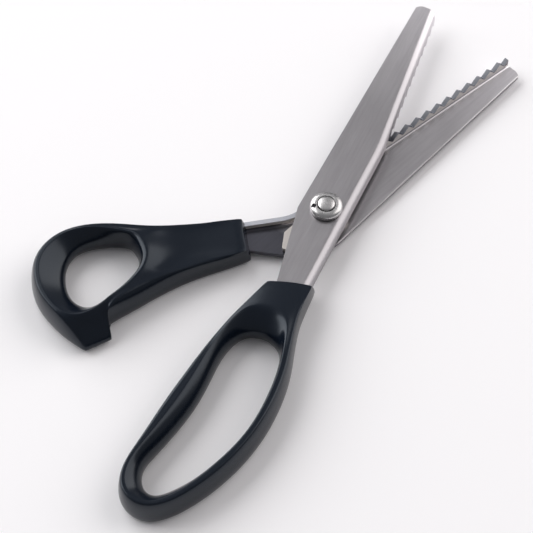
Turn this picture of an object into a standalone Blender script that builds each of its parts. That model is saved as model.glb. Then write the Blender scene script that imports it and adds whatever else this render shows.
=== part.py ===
"""Pinking shears: two folded steel blades with meshing teeth, a screw pivot and two moulded handles.

Frame: metres, +Z up. The origin is on the pivot axis, on the surface that the shears rest on.
+X runs from the pivot to the point of the front (upper) blade, and the front teeth are on the -Y side.
The rear (lower) blade is modelled closed and is then turned about the pivot by JAW_OPENING.
"""
import math

import bmesh
import bpy
from mathutils import Matrix, Vector

# Sheet metal
SHEET = 0.0018                       # thickness of both blades
BEND_INNER_RADIUS = 0.0010           # inner radius of the fold along the toothed edge
BLADE_GAP = 0.0056                   # clear height between the two blade plates
FIT = 0.0003                         # clearance between neighbouring pieces

# Blade plan, measured from the pivot
BLADE_REACH = 0.0998                 # pivot to the end of the front blade
REAR_SHORTFALL = 0.0009              # the rear blade ends this much short of the front one
FLANGE_OFFSET = 0.0084               # pivot axis to the outside of the folded edge
TAPER_START = 0.033                  # where the toothed edge starts to taper
FLANGE_TIP_OFFSET = 0.00144          # folded edge offset at the blade end
SPINE_OFFSET = 0.0094                # pivot axis to the plain edge of the front blade
REAR_SPINE_OFFSET = 0.0104           # the same on the rear blade
SPINE_TIP_OFFSET = 0.0065            # plain edge offset at the blade end
HEEL = -0.004                        # where the blade turns into its tang

# Teeth: a zigzag in height that depends only on the distance from the pivot, so the blades mesh
TOOTH_PITCH = 0.005
TOOTH_DEPTH = 0.0028
FIRST_VALLEY = 0.037                 # distance from the pivot to the first tooth valley
TOOTH_CLEARANCE = 0.00025            # each blade stays this far from the shared zigzag

# Tangs
FRONT_TANG_LENGTH = 0.041            # from the heel to the end inside the finger handle
FRONT_TANG_NARROWING = 0.20          # width lost for each unit of length
REAR_TANG_ANGLE = math.radians(35)
REAR_TANG_RADIUS = 0.014             # radius of the bend on its toothed side
REAR_TANG_LENGTH = 0.036
REAR_TANG_NARROWING = 0.41
REAR_TANG_MIN_WIDTH = 0.0105

# Pivot
JAW_OPENING = math.radians(20)       # angle between the blades as modelled
HEAD_THICKNESS = 0.0014
HEAD_RADIUS = 0.0066
SHOULDER_RADIUS = 0.0035
THREAD_STEP = 0.0004                 # the thread's radius is this much under the shoulder's
BUTTON_RISE = 0.0006                 # how far the screw end stands over the nut
NUT_RADIUS = 0.0059
NUT_HEIGHT = 0.0024
NUT_RIM_HEIGHT = 0.0008
SPANNER_SHARE = 0.57                 # side of the square spanner hole to the width of the nut's ring
SPANNER_DEPTH = 0.0012
SPANNER_TURN = math.radians(124)
SPRING_THICKNESS = 0.0003
THRUST_THICKNESS = 0.0004
THRUST_RADIUS = 0.0060
BEARING_FRONT = 0.0078               # pivot axis to the front end of the bearing plates
BEARING_BACK = 0.0157                # pivot axis to the start of their bevelled end
BEARING_MARGIN = 0.0034              # bearing plate to the plain edge of its blade
BEARING_BEVEL = 0.0055               # length of the bevelled end
BEARING_BEVEL_WIDTH = 0.0042

# Handles
HANDLE_COVER = 0.0016                # plastic over the front tang
THUMB_COVER = 0.0027                 # plastic over the rear tang, where the thumb handle is lower
FINGER_FERRULE_LEAN = 0.0042         # the bottom lip of the ferrule reaches this far past its top edge
THUMB_FERRULE_LEAN = 0.0020
THUMB_RISE_START = 0.024             # the thumb handle rises to full thickness between these distances
THUMB_RISE_END = 0.048
FUNNEL_DEPTH = 0.0050                # height of the scooped surface round each hole
LOWER_RIM = 0.0030                   # height of the straight lower part of each hole
CREST_WIDTH = 0.0021                 # outer edge to the flat top
FERRULE_CREST_WIDTH = 0.0006
WALL_DRAFT = 0.0008
FOOT_WIDTH = 0.0022                  # outer edge to the flat underside
BOTTOM_ROUND = 0.0018
TOP_ROUND = 0.0016
NOSE_HEIGHT = 0.0042                 # height of the stop nose at its outer edge
MIN_RIM = 0.0007                     # least width between the crest and the funnel

# Sizes that follow
BEND_RADIUS = SHEET + BEND_INNER_RADIUS
REAR_BLADE_REACH = BLADE_REACH - REAR_SHORTFALL
TOOTH_SLOPE = (FLANGE_OFFSET - FLANGE_TIP_OFFSET) / (BLADE_REACH - TAPER_START)
THREAD_RADIUS = SHOULDER_RADIUS - THREAD_STEP
SPRING_RADIUS = (NUT_RADIUS + THREAD_RADIUS) / 2
SPANNER_HOLE = (NUT_RADIUS - THREAD_RADIUS) * SPANNER_SHARE
SPANNER_REACH = SPRING_RADIUS + 0.0001
BORE_RADIUS = SHOULDER_RADIUS + FIT

# Heights that follow from the stack
REAR_OUTER_Z = HEAD_THICKNESS + FIT
REAR_INNER_Z = REAR_OUTER_Z + SHEET
MIDDLE_Z = REAR_INNER_Z + BLADE_GAP / 2
FRONT_INNER_Z = REAR_INNER_Z + BLADE_GAP
FRONT_OUTER_Z = FRONT_INNER_Z + SHEET
BEARING_THICKNESS = BLADE_GAP / 2 - THRUST_THICKNESS / 2 - 2 * FIT
THRUST_BOTTOM_Z = MIDDLE_Z - THRUST_THICKNESS / 2
NUT_BOTTOM_Z = FRONT_OUTER_Z + FIT
HANDLE_THICKNESS = FRONT_OUTER_Z + HANDLE_COVER
THUMB_FERRULE_HEIGHT = MIDDLE_Z + THUMB_COVER

MM = 0.001
ARC_STEPS = 6
ROUND_STEPS = 48


def remove_everything():
    for item in list(bpy.data.objects):
        bpy.data.objects.remove(item, do_unlink=True)


def make_material(name, colour, roughness, metallic):
    material = bpy.data.materials.new(name)
    material.use_nodes = True
    shader = material.node_tree.nodes["Principled BSDF"]
    shader.inputs["Base Color"].default_value = (*colour, 1.0)
    shader.inputs["Roughness"].default_value = roughness
    shader.inputs["Metallic"].default_value = metallic
    material.diffuse_color = (*colour, 1.0)
    return material


def finish_object(name, bm, material, sharp_degrees=30):
    bmesh.ops.recalc_face_normals(bm, faces=bm.faces)
    mesh = bpy.data.meshes.new(name)
    bm.to_mesh(mesh)
    bm.free()
    mesh.shade_smooth()
    mesh.set_sharp_from_angle(angle=math.radians(sharp_degrees))
    if material is not None:
        mesh.materials.append(material)
    item = bpy.data.objects.new(name, mesh)
    bpy.context.scene.collection.objects.link(item)
    return item


def make_cutter(name, bm):
    cutter = finish_object(name, bm, None)
    cutter.hide_render = True
    cutter.display_type = "WIRE"
    return cutter


def add_boolean(item, cutter, operation="DIFFERENCE"):
    modifier = item.modifiers.new(cutter.name, "BOOLEAN")
    modifier.operation = operation
    modifier.solver = "EXACT"
    modifier.object = cutter


def rounded_outline(corners):
    """Closed outline from (x, y, radius) corners; each corner becomes an arc."""
    outline = []
    for index, (x, y, radius) in enumerate(corners):
        corner = Vector((x, y))
        before = Vector(corners[index - 1][:2]) - corner
        after = Vector(corners[(index + 1) % len(corners)][:2]) - corner
        if radius <= 0:
            outline.append(corner)
            continue
        half = before.angle(after) / 2
        reach = radius / math.tan(half)
        start = corner + before.normalized() * reach
        end = corner + after.normalized() * reach
        middle = (before.normalized() + after.normalized()).normalized()
        centre = corner + middle * radius / math.sin(half)
        first = start - centre
        turn = first.angle_signed(end - centre)
        for step in range(ARC_STEPS + 1):
            arm = first.copy()
            arm.rotate(Matrix.Rotation(-turn * step / ARC_STEPS, 2))
            outline.append(centre + arm)
    return outline


def prism(outline, bottom, top):
    """Closed solid over a plan outline."""
    bm = bmesh.new()
    base = [bm.verts.new((point[0], point[1], bottom)) for point in outline]
    face = bm.faces.new(base)
    lifted = bmesh.ops.extrude_face_region(bm, geom=[face])
    verts = [part for part in lifted["geom"] if isinstance(part, bmesh.types.BMVert)]
    bmesh.ops.translate(bm, verts=verts, vec=(0, 0, top - bottom))
    return bm


def turned(profile, closed):
    """Solid of revolution about Z from (radius, height) points."""
    bm = bmesh.new()
    verts = [bm.verts.new((radius, 0, height)) for radius, height in profile]
    edges = [bm.edges.new(pair) for pair in zip(verts, verts[1:])]
    if closed:
        edges.append(bm.edges.new((verts[-1], verts[0])))
    bmesh.ops.spin(
        bm, geom=verts + edges, cent=(0, 0, 0), axis=(0, 0, 1),
        angle=math.tau, steps=ROUND_STEPS, use_merge=True,
    )
    bmesh.ops.remove_doubles(bm, verts=bm.verts, dist=1e-6)
    return bm


def arc_points(centre, radius, start_degrees, end_degrees, steps):
    """(radius, height) points along an arc in a turned profile."""
    points = []
    for step in range(steps + 1):
        angle = math.radians(start_degrees + (end_degrees - start_degrees) * step / steps)
        points.append((centre[0] + radius * math.cos(angle), centre[1] + radius * math.sin(angle)))
    return points


# Blades

def tooth_wave(distance):
    """Height of the shared zigzag over the middle plane at a distance from the pivot."""
    cycles = (distance - FIRST_VALLEY) / TOOTH_PITCH
    if cycles < -0.25:
        return 0.0
    return TOOTH_DEPTH / 2 * (4 * abs(cycles - math.floor(cycles + 0.5)) - 1)


def flange_line(x):
    """Distance from the centre line to the outside of the folded edge."""
    return FLANGE_OFFSET - max(0.0, x - TAPER_START) * TOOTH_SLOPE


def spine_line(x, spine_offset):
    """Distance from the centre line to the plain edge."""
    share = (x - HEEL) / (BLADE_REACH - HEEL)
    return spine_offset + (SPINE_TIP_OFFSET - spine_offset) * share


def section_points(place, spine, height, flange_end, grow):
    """One cross-section of the folded sheet, as a closed loop of points.

    place(q) gives the plan point q inward from the folded edge, height(h) turns a depth from the
    outer face into z, and grow thickens the sheet on every side.
    """
    points = [(*spine, height(-grow))]
    for radius, turns in ((BEND_RADIUS + grow, 1), (BEND_INNER_RADIUS - grow, -1)):
        arc = []
        for step in range(ARC_STEPS + 1):
            angle = math.pi / 2 * step / ARC_STEPS
            inward = BEND_RADIUS - radius * math.sin(angle)
            depth = BEND_RADIUS - radius * math.cos(angle)
            arc.append((*place(inward), height(depth)))
        if turns > 0:
            points += arc
            points.append((*place(-grow), height(flange_end + grow)))
            points.append((*place(SHEET + grow), height(flange_end + grow)))
        else:
            points += reversed(arc)
    points.append((*spine, height(SHEET + grow)))
    return points


def blade_sections(side, tang, spine_offset, grow=0.0, last=None):
    """Cross-sections from the end of the tang to past the point of the blade.

    side is -1 for the front blade and +1 for the rear one; tang is its angle, radius, length,
    narrowing and least width.
    """
    outer_z = FRONT_OUTER_Z if side < 0 else REAR_OUTER_Z

    def height(depth):
        return outer_z + side * depth

    def flange_depth(distance):
        edge_z = MIDDLE_Z + tooth_wave(distance) - side * TOOTH_CLEARANCE
        return (edge_z - outer_z) * side

    sections = []
    angle, radius, length, narrowing, least_width = tang
    bend_length = radius * angle
    root_width = FLANGE_OFFSET + spine_line(HEEL, spine_offset)
    marks = [length, (length + bend_length) / 2]
    if bend_length > 0:
        marks += [bend_length * share for share in (1.0, 0.75, 0.5, 0.25)]
    for mark in marks:
        turned_by = min(mark / radius, angle) if angle > 0 else 0.0
        straight = mark - bend_length if mark > bend_length else 0.0
        x = HEEL - radius * math.sin(turned_by) - straight * math.cos(turned_by)
        y = FLANGE_OFFSET + radius * (1 - math.cos(turned_by)) + straight * math.sin(turned_by)
        inward = Vector((-math.sin(turned_by), -math.cos(turned_by)))
        width = max(root_width - narrowing * mark, least_width)

        def place(q, x=x, y=y, inward=inward):
            return (x + inward.x * q, side * (y + inward.y * q))

        sections.append(section_points(place, place(width + grow), height, flange_depth(0.0), grow))

    for x in (HEEL, 0.0, TAPER_START - 0.003):
        def place(q, x=x):
            return (x, side * (flange_line(x) - q))

        spine = (x, -side * (spine_line(x, spine_offset) + grow))
        sections.append(section_points(place, spine, height, flange_depth(0.0), grow))

    half_teeth = math.ceil((BLADE_REACH - FIRST_VALLEY) / (TOOTH_PITCH / 2)) + 1
    distances = [FIRST_VALLEY - TOOTH_PITCH / 4]
    distances += [FIRST_VALLEY + TOOTH_PITCH / 2 * count for count in range(half_teeth + 1)]
    for distance in distances:
        def on_circle(y, distance=distance):
            return math.sqrt(distance ** 2 - y ** 2)

        edge = flange_line(distance)
        for _ in range(3):
            edge = flange_line(on_circle(edge))

        def place(q, edge=edge, on_circle=on_circle):
            return (on_circle(edge - q), side * (edge - q))

        spine_y = spine_line(distance, spine_offset) + grow
        spine = (on_circle(spine_y), -side * spine_y)
        sections.append(section_points(place, spine, height, flange_depth(distance), grow))
    return sections[:last]


def skin_sections(sections):
    """Closed solid through a run of equal cross-sections."""
    bm = bmesh.new()
    rings = [[bm.verts.new(point) for point in section] for section in sections]
    for ring, following in zip(rings, rings[1:]):
        for index in range(len(ring)):
            after = (index + 1) % len(ring)
            bm.faces.new((ring[index], ring[after], following[after], following[index]))
    bm.faces.new(rings[0])
    bm.faces.new(list(reversed(rings[-1])))
    return bm


def tip_trim(side, reach, flange_radius, spine_radius, spine_offset):
    """Prism that the blade is cut to at its rounded point."""
    margin = 0.0005
    far = 0.2
    back = reach - 0.014
    corners = [
        (-far, -side * far, 0),
        (-far, side * far, 0),
        (back, side * far, 0),
        (back, side * (flange_line(back) + margin), 0),
        (reach, side * (flange_line(reach) + margin), flange_radius),
        (reach, -side * (spine_line(reach, spine_offset) + margin), spine_radius),
        (back, -side * (spine_line(back, spine_offset) + margin), 0),
        (back, -side * far, 0),
    ]
    return prism(rounded_outline(corners), -0.01, 0.03)


FRONT_TANG = (0.0, 1.0, FRONT_TANG_LENGTH, FRONT_TANG_NARROWING, 0.008)
REAR_TANG = (REAR_TANG_ANGLE, REAR_TANG_RADIUS, REAR_TANG_LENGTH, REAR_TANG_NARROWING, REAR_TANG_MIN_WIDTH)


def make_front_blade(material, bore):
    sections = blade_sections(-1, FRONT_TANG, SPINE_OFFSET)
    blade = finish_object("front_blade", skin_sections(sections), material)
    trim = make_cutter("front_tip_trim", tip_trim(-1, BLADE_REACH, 0.0045, 0.0034, SPINE_OFFSET))
    add_boolean(blade, trim, "INTERSECT")
    add_boolean(blade, bore)
    return blade


def make_rear_blade(material, bore, rear_axis):
    sections = blade_sections(1, REAR_TANG, REAR_SPINE_OFFSET)
    blade = finish_object("rear_blade", skin_sections(sections), material)
    trim = make_cutter("rear_tip_trim", tip_trim(1, REAR_BLADE_REACH, 0.0004, 0.0030, REAR_SPINE_OFFSET))
    trim.parent = rear_axis
    blade.parent = rear_axis
    add_boolean(blade, trim, "INTERSECT")
    add_boolean(blade, bore)
    return blade


def make_bearing_plate(name, side, spine_offset, bottom, material, bore):
    """Spacer plate between a blade and the thrust washer, with a bevelled back corner."""
    flange_side = side * (FLANGE_OFFSET - BEND_RADIUS)
    plain_side = -side * (spine_offset - BEARING_MARGIN)
    corners = [
        (BEARING_FRONT, flange_side, 0.0015),
        (-BEARING_BACK, flange_side, 0.0008),
        (-BEARING_BACK - BEARING_BEVEL, flange_side - side * BEARING_BEVEL_WIDTH, 0.0008),
        (-BEARING_BACK - BEARING_BEVEL * 0.74, flange_side - side * BEARING_BEVEL_WIDTH * 1.67, 0.0006),
        (-BEARING_BACK + BEARING_BEVEL * 0.71, flange_side - side * BEARING_BEVEL_WIDTH * 2.87, 0.0020),
        (HEEL, plain_side, 0.0020),
        (BEARING_FRONT, plain_side, 0.0035),
    ]
    plate = finish_object(name, prism(rounded_outline(corners), bottom, bottom + BEARING_THICKNESS), material)
    add_boolean(plate, bore)
    return plate


# Pivot

def make_bore_cutter():
    profile = [(0, -0.005), (BORE_RADIUS, -0.005), (BORE_RADIUS, 0.02), (0, 0.02)]
    return make_cutter("bore_cutter", turned(profile, False))


def make_pivot_screw(material):
    shoulder_top = FRONT_OUTER_Z - 0.0001
    button_top = NUT_BOTTOM_Z + NUT_HEIGHT + BUTTON_RISE
    edge = 0.0005
    profile = [(0, 0), (HEAD_RADIUS - 0.0003, 0), (HEAD_RADIUS, 0.0003), (HEAD_RADIUS, HEAD_THICKNESS)]
    profile += [(SHOULDER_RADIUS, HEAD_THICKNESS), (SHOULDER_RADIUS, shoulder_top)]
    profile += [(THREAD_RADIUS, shoulder_top)]
    profile += arc_points((THREAD_RADIUS - edge, button_top - 2 * edge), edge, 0, 70, 3)
    profile += [(THREAD_RADIUS * 0.45, button_top - 0.0001), (0, button_top)]
    return finish_object("pivot_screw", turned(profile, False), material)


def make_pivot_nut(material):
    base = NUT_BOTTOM_Z
    recess = base + SPRING_THICKNESS + FIT
    bore = THREAD_RADIUS + FIT
    top = base + NUT_HEIGHT
    crown = NUT_RADIUS - bore - 0.0006
    rise = NUT_HEIGHT - NUT_RIM_HEIGHT
    profile = [(SPRING_RADIUS + FIT, base), (NUT_RADIUS, base), (NUT_RADIUS, base + NUT_RIM_HEIGHT)]
    for step in range(1, 7):
        angle = math.pi / 2 * step / 6
        radius = NUT_RADIUS - crown * (1 - math.cos(angle))
        profile.append((radius, base + NUT_RIM_HEIGHT + rise * math.sin(angle)))
    profile += [(bore, top), (bore, recess), (SPRING_RADIUS + FIT, recess)]
    nut = finish_object("pivot_nut", turned(profile, True), material)
    half = SPANNER_HOLE / 2
    hole = prism([(-half, -half), (half, -half), (half, half), (-half, half)], top - SPANNER_DEPTH, top + 0.002)
    reach = Vector((SPANNER_REACH, 0, 0))
    bmesh.ops.rotate(hole, verts=hole.verts, matrix=Matrix.Rotation(-SPANNER_TURN, 3, "Z"))
    bmesh.ops.translate(hole, verts=hole.verts, vec=reach)
    bmesh.ops.rotate(hole, verts=hole.verts, matrix=Matrix.Rotation(SPANNER_TURN, 3, "Z"))
    add_boolean(nut, make_cutter("spanner_hole", hole))
    return nut


def make_washer(name, inner, outer, bottom, thickness, material):
    profile = [(inner, bottom), (outer, bottom), (outer, bottom + thickness), (inner, bottom + thickness)]
    return finish_object(name, turned(profile, True), material)


# Handles: each station is (outer x, outer y, hole x, hole y, funnel width) in millimetres.
# The first three stations of each handle are its ferrule, where the tang goes in.

FINGER_STATIONS = [
    (-32.9, 6.4, -55.6, 2.0, 7.0), (-30.0, -1.2, -55.0, -1.7, 7.0), (-28.1, -9.1, -56.1, -5.3, 6.6),
    (-40.5, -9.8, -58.1, -8.1, 4.6), (-48.5, -11.2, -61.2, -9.9, 3.4), (-57.0, -13.7, -65.5, -11.2, 2.8),
    (-66.0, -16.3, -71.5, -12.2, 2.5), (-77.0, -17.9, -79.5, -12.7, 2.5), (-89.0, -17.9, -89.0, -12.5, 2.6),
    (-101.0, -16.0, -98.5, -11.0, 2.7), (-112.0, -12.5, -107.5, -8.1, 2.9), (-121.5, -8.0, -115.5, -4.5, 3.4),
    (-129.8, -2.4, -122.0, -0.3, 4.4), (-135.1, 4.3, -126.8, 4.2, 5.0), (-135.6, 11.5, -127.6, 8.6, 5.0),
    (-131.2, 17.6, -124.4, 12.5, 5.2), (-122.9, 20.0, -118.2, 14.2, 5.0), (-112.8, 19.6, -110.5, 12.7, 5.0),
    (-103.0, 18.9, -102.0, 10.8, 6.0), (-93.0, 18.0, -93.8, 9.4, 6.4), (-83.0, 16.8, -85.5, 8.8, 6.0),
    (-73.5, 15.5, -77.0, 8.9, 5.6), (-64.0, 13.8, -69.0, 9.0, 5.2), (-54.5, 11.7, -62.0, 7.8, 6.4),
    (-45.5, 9.3, -57.5, 5.4, 7.0),
]

# The thumb handle is given with the blades closed.
THUMB_STATIONS = [
    (-21.8, 17.8, -59.3, 38.1, 6.0), (-26.3, 12.3, -60.3, 35.0, 6.0), (-30.1, 6.8, -62.1, 32.3, 5.0),
    (-38.2, 10.2, -64.2, 30.6, 3.6), (-46.5, 13.9, -66.3, 29.5, 2.6), (-55.0, 16.9, -68.7, 28.8, 2.0),
    (-64.5, 19.2, -71.4, 28.4, 1.8), (-73.5, 20.7, -74.3, 28.2, 1.8), (-80.6, 22.2, -77.6, 28.3, 1.9),
    (-86.2, 23.2, -80.6, 28.6, 2.2), (-88.8, 18.2, -83.4, 29.1, 2.6), (-98.9, 21.5, -87.0, 30.6, 4.4),
    (-100.4, 29.4, -89.2, 34.0, 6.6), (-100.5, 37.5, -89.6, 38.4, 7.4), (-99.2, 45.7, -88.0, 43.0, 7.6),
    (-95.5, 53.2, -85.5, 46.7, 7.6), (-89.3, 59.2, -82.4, 49.7, 7.4), (-81.3, 61.6, -78.5, 51.8, 6.6),
    (-73.4, 60.7, -74.2, 52.5, 5.2), (-66.2, 57.2, -69.8, 51.3, 4.4), (-60.0, 51.9, -66.0, 49.0, 4.0),
    (-54.3, 45.8, -63.2, 46.8, 4.4), (-48.4, 39.2, -61.0, 44.7, 5.4), (-41.0, 32.6, -59.5, 42.6, 6.2),
    (-32.0, 25.6, -59.0, 40.4, 6.2),
]
NOSE_CORNERS = (9, 10, 11)
NOSE_SHELVES = {8: 0.0024, 9: 0.0042, 10: 0.0088, 11: 0.0082, 12: 0.0026}
FERRULE_STATIONS = (0, 1, 2)


def subdivision_hold(points, sharp):
    """Moves a closed run of points outward, so that its subdivided curve passes through them."""
    held = [point.copy() for point in points]
    count = len(points)
    for _ in range(4):
        moved = []
        for index in range(count):
            if index in sharp:
                moved.append(points[index].copy())
                continue
            pull = (held[index - 1] + held[(index + 1) % count] - 2 * held[index]) / 6
            moved.append(points[index] - pull)
        held = moved
    return held


def handle_cage(stations, tops, lean, shelves, sharp):
    """Subdivision cage of one handle: a loop of stations, each a ring of ten points."""
    outer = subdivision_hold([Vector((row[0], row[1])) * MM for row in stations], sharp)
    hole = subdivision_hold([Vector((row[2], row[3])) * MM for row in stations], ())
    bm = bmesh.new()
    rings = []
    for index, row in enumerate(stations):
        edge = outer[index]
        across = hole[index] - edge
        reach = across.length
        inward = across / reach
        top = tops[index]
        shelf = shelves.get(index, 0.0)
        in_ferrule = index in FERRULE_STATIONS
        crest = max(FERRULE_CREST_WIDTH if in_ferrule else CREST_WIDTH, shelf)
        edge_top = NOSE_HEIGHT if index in NOSE_CORNERS and shelf > 0 else top - TOP_ROUND
        funnel = min(row[4] * MM, reach - crest - MIN_RIM)
        slope = lean / top if in_ferrule else Vector((0, 0))
        under = min(FOOT_WIDTH, (reach - FOOT_WIDTH) * 0.4)

        def at(distance, z, leaning=0.0, edge=edge, inward=inward, slope=slope):
            point = edge + inward * distance - slope * leaning * z
            return (point.x, point.y, z)

        ring = [
            at(FOOT_WIDTH, 0.0),
            at(0.0, BOTTOM_ROUND, 1.0),
            at(min(WALL_DRAFT, crest) + shelf * 0.1, edge_top, 1.0),
            at(crest, top, 1.0),
            at(reach - funnel, top),
            at(reach - funnel * 0.45, top - FUNNEL_DEPTH * 0.45),
            at(reach, top - FUNNEL_DEPTH),
            at(reach, LOWER_RIM),
            at(reach - under, 0.0),
            at((FOOT_WIDTH + reach - under) / 2, 0.0),
        ]
        rings.append([bm.verts.new(point) for point in ring])
    for index, ring in enumerate(rings):
        following = rings[(index + 1) % len(rings)]
        for step in range(len(ring)):
            after = (step + 1) % len(ring)
            bm.faces.new((ring[step], following[step], following[after], ring[after]))
    crease = bm.edges.layers.float.new("crease_edge")
    for index in sharp:
        for step in range(3):
            bm.edges.get((rings[index][step], rings[index][step + 1]))[crease] = 1.0
    for index in (FERRULE_STATIONS[0] - 1,) + FERRULE_STATIONS:
        bm.edges.get((rings[index][3], rings[index + 1][3]))[crease] = 1.0
    return bm


def make_handle(name, stations, tops, lean, shelves, sharp, material, pocket):
    handle = finish_object(name, handle_cage(stations, tops, lean, shelves, sharp), material)
    smooth = handle.modifiers.new("smooth", "SUBSURF")
    smooth.levels = 1
    smooth.render_levels = 1
    add_boolean(handle, pocket)
    return handle


def make_finger_handle(material):
    sections = blade_sections(-1, FRONT_TANG, SPINE_OFFSET, grow=FIT, last=3)
    sections[0] = [(x - FIT, y, z) for x, y, z in sections[0]]
    pocket = make_cutter("finger_pocket", skin_sections(sections))
    tops = [HANDLE_THICKNESS] * len(FINGER_STATIONS)
    lean = Vector((1.0, 0.1)) * FINGER_FERRULE_LEAN
    return make_handle("finger_handle", FINGER_STATIONS, tops, lean, {}, (0, 2), material, pocket)


def thumb_top(row):
    """The thumb handle rises from its ferrule to full thickness over the neck."""
    along = (-row[0] * MM - THUMB_RISE_START) / (THUMB_RISE_END - THUMB_RISE_START)
    share = min(1.0, max(0.0, along))
    return THUMB_FERRULE_HEIGHT + (HANDLE_THICKNESS - THUMB_FERRULE_HEIGHT) * share


def make_thumb_handle(material, rear_axis):
    sections = blade_sections(1, REAR_TANG, REAR_SPINE_OFFSET, grow=FIT, last=3)
    tail = Vector((-math.cos(REAR_TANG_ANGLE), math.sin(REAR_TANG_ANGLE), 0)) * FIT
    sections[0] = [Vector(point) + tail for point in sections[0]]
    pocket = make_cutter("thumb_pocket", skin_sections(sections))
    pocket.parent = rear_axis
    tops = [thumb_top(row) for row in THUMB_STATIONS]
    lean = Vector((math.cos(REAR_TANG_ANGLE), -math.sin(REAR_TANG_ANGLE))) * THUMB_FERRULE_LEAN
    sharp = (0, 2) + NOSE_CORNERS
    handle = make_handle("thumb_handle", THUMB_STATIONS, tops, lean, NOSE_SHELVES, sharp, material, pocket)
    handle.parent = rear_axis
    return handle


def main():
    remove_everything()
    blade_steel = make_material("blade_steel", (0.42, 0.42, 0.43), 0.38, 1.0)
    bearing_steel = make_material("bearing_steel", (0.55, 0.53, 0.50), 0.30, 1.0)
    bright_steel = make_material("bright_steel", (0.75, 0.74, 0.72), 0.18, 1.0)
    spring_steel = make_material("spring_steel", (0.30, 0.30, 0.32), 0.35, 1.0)
    bronze = make_material("bronze", (0.45, 0.30, 0.14), 0.35, 1.0)
    black_plastic = make_material("black_plastic", (0.012, 0.013, 0.018), 0.22, 0.0)

    rear_axis = bpy.data.objects.new("rear_axis", None)
    rear_axis.rotation_euler = (0, 0, -JAW_OPENING)
    bpy.context.scene.collection.objects.link(rear_axis)

    bore = make_bore_cutter()
    make_front_blade(blade_steel, bore)
    make_rear_blade(blade_steel, bore, rear_axis)
    make_bearing_plate(
        "front_bearing_plate", -1, SPINE_OFFSET, FRONT_INNER_Z - FIT - BEARING_THICKNESS, bearing_steel, bore)
    rear_plate = make_bearing_plate(
        "rear_bearing_plate", 1, REAR_SPINE_OFFSET, REAR_INNER_Z + FIT, bearing_steel, bore)
    rear_plate.parent = rear_axis
    make_washer("thrust_washer", BORE_RADIUS, THRUST_RADIUS, THRUST_BOTTOM_Z, THRUST_THICKNESS, bronze)
    make_washer("spring_washer", THREAD_RADIUS + FIT, SPRING_RADIUS, FRONT_OUTER_Z + FIT, SPRING_THICKNESS,
                spring_steel)
    make_pivot_screw(bright_steel)
    make_pivot_nut(bright_steel)
    make_finger_handle(black_plastic)
    make_thumb_handle(black_plastic, rear_axis)


main()
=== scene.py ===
"""Pinking shears: fine surfaces, finishes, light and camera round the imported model."""

import math

import bmesh
import bpy
from bpy.props import FloatProperty, FloatVectorProperty, PointerProperty
from mathutils import Matrix, Vector


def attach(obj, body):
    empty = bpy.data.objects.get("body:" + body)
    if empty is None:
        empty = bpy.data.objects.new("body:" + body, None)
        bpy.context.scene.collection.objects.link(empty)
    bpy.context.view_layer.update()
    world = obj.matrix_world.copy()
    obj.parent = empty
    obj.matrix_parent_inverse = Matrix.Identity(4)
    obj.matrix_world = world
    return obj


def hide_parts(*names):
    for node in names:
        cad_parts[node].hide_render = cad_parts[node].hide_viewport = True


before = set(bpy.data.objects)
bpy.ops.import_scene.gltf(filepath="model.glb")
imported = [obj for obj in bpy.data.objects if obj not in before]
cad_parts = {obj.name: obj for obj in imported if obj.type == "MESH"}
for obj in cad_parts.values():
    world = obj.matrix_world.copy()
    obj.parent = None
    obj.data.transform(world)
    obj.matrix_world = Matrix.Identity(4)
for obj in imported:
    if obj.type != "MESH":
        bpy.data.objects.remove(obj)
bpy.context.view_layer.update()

bl_info = {
    "name": "Pinking shears",
    "version": (1, 0, 0),
    "blender": (4, 5, 0),
    "location": "View3D > Sidebar > Shears",
    "description": "Models the blades, pivot and handles of a pair of pinking shears and their stage",
    "category": "Mesh",
}

FRONT, REAR = -1, 1                  # which blade: the front one's toothed edge is on the -Y side
FRONT_BODY, REAR_BODY = "front_half", "rear_half"
MM = 0.001
BEND_STEPS = 10                      # faces round the fold of a blade
ARC_STEPS = 8                        # faces round a corner of a plan outline
ROUND_STEPS = 96                     # faces round a turned piece
WELD = 2e-6                          # points closer than this are merged
SAME_PLACE = 1e-6                    # measures nearer than this count as equal
SOFT_ANGLE = math.radians(28)        # edges sharper than this get a small round
SHEET_SMOOTH = math.radians(50)      # shading angles below which neighbouring faces blend
TURNED_SMOOTH = math.radians(32)
SCREW_SMOOTH = math.radians(40)
HANDLE_SMOOTH = math.radians(38)


# Small helpers

def deselect():
    """Leaves edit mode with nothing selected."""
    if bpy.context.object is not None and bpy.context.object.mode != "OBJECT":
        bpy.ops.object.mode_set(mode="OBJECT")
    bpy.ops.object.select_all(action="DESELECT")


def pick(item):
    """Makes one object the only selected and active one."""
    deselect()
    item.select_set(True)
    bpy.context.view_layer.objects.active = item


def start_ring(name, points):
    """A new object that is one closed ring of points, left in edit mode with the ring selected."""
    deselect()
    bpy.ops.mesh.primitive_circle_add(vertices=len(points), radius=0.01, fill_type="NOTHING")
    item = bpy.context.object
    item.name = name
    item.data.name = name
    for vert, point in zip(item.data.vertices, points):
        vert.co = point
    bpy.ops.object.mode_set(mode="EDIT")
    bpy.ops.mesh.select_all(action="SELECT")
    return item, list(range(len(points)))


def extrude_ring(item, ring, points):
    """Extrudes the selected ring and puts the new one at the given points."""
    bpy.ops.mesh.extrude_region_move(TRANSFORM_OT_translate={"value": (0, 0, MM)})
    bm = bmesh.from_edit_mesh(item.data)
    bm.verts.ensure_lookup_table()
    lifted = []
    for index in ring:
        vert = bm.verts[index]
        ends = [edge.other_vert(vert) for edge in vert.link_edges]
        lifted.append(next(end.index for end in ends if end.select))
    for index, point in zip(lifted, points):
        bm.verts[index].co = point
    bmesh.update_edit_mesh(item.data)
    return lifted


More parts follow.
